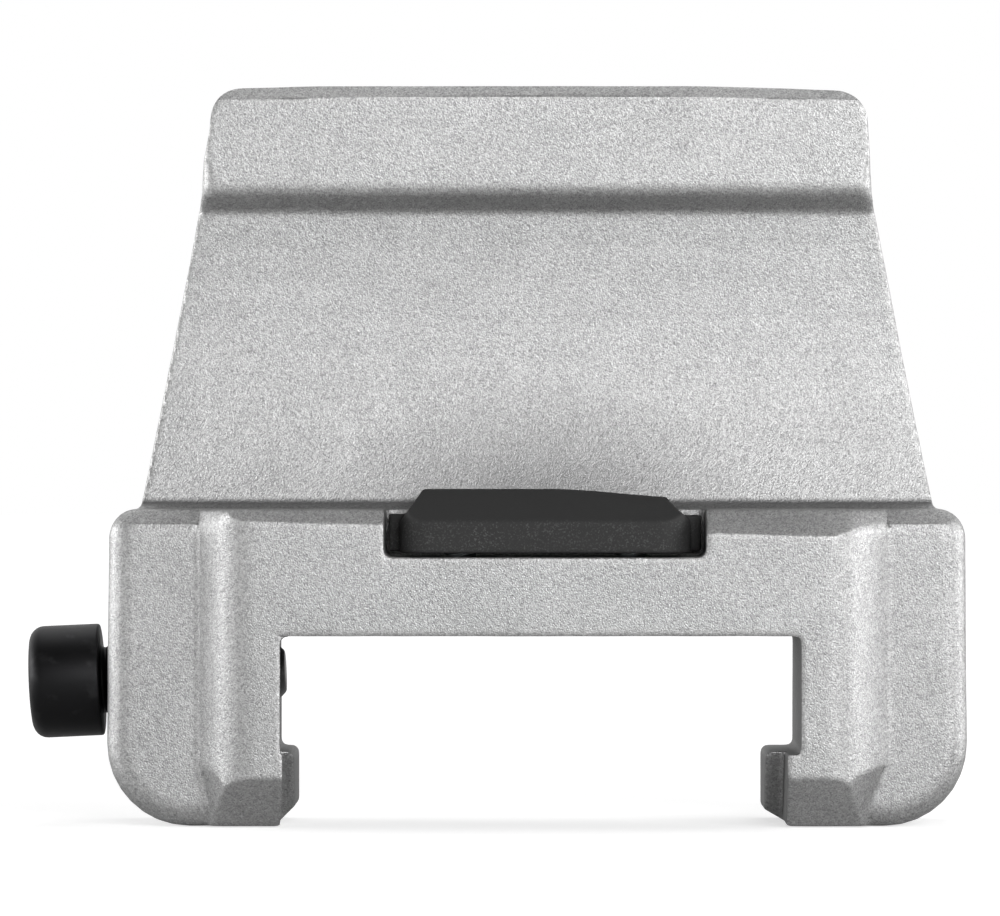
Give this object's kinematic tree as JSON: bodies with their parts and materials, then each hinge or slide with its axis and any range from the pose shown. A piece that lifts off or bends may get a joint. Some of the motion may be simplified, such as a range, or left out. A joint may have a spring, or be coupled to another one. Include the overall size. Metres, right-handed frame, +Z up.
{
  "type": "clamp-on rail cleat",
  "caption": "Cast aluminium cleat that hooks over a flat rail and is locked by a side cap screw, with a tapered wall, a hooked lip and a rubber buffer on its front ledge.",
  "frame": {"origin": "centre of the seat that rests on top of the rail, halfway along the saddle and across its channel", "axes": "+X across the rail away from the clamp screw's head, +Y along the rail from the front face to the back, +Z up from the seat"},
  "size_m": [0.0833, 0.02, 0.0656],
  "materials": {
    "cast_aluminium": "as cast and grit blasted",
    "plain_steel": "plain zinc grey",
    "black_steel": "black oxide",
    "black_acetal": "moulded, satin",
    "black_rubber": "moulded, matt"
  },
  "bodies": {
    "saddle": {"saddle_body": "cast_aluminium", "thread_insert": "plain_steel", "buffer_pad": "black_rubber", "buffer_plate": "plain_steel", "buffer_screw_left": "plain_steel", "buffer_screw_right": "plain_steel"},
    "tip": {"thrust_tip": "black_acetal"},
    "screw": {"clamp_screw": "black_steel"}
  },
  "joints": [
    {"name": "screw_travel", "type": "slide", "parent": "saddle", "child": "tip", "axis": [0.999, 0, 0.0454], "range_m": [-0.004, 0.00035]},
    {"name": "screw_turn", "type": "hinge", "parent": "tip", "child": "screw", "pos_m": [-0.02305, 0.0021, -0.0034], "axis": [0.999, 0, 0.0454], "range_deg": [-1440, 126]}
  ],
  "couplings": [
    {"joint": "screw_turn", "follows": "screw_travel", "rad_per_m": 6283.2}
  ]
}
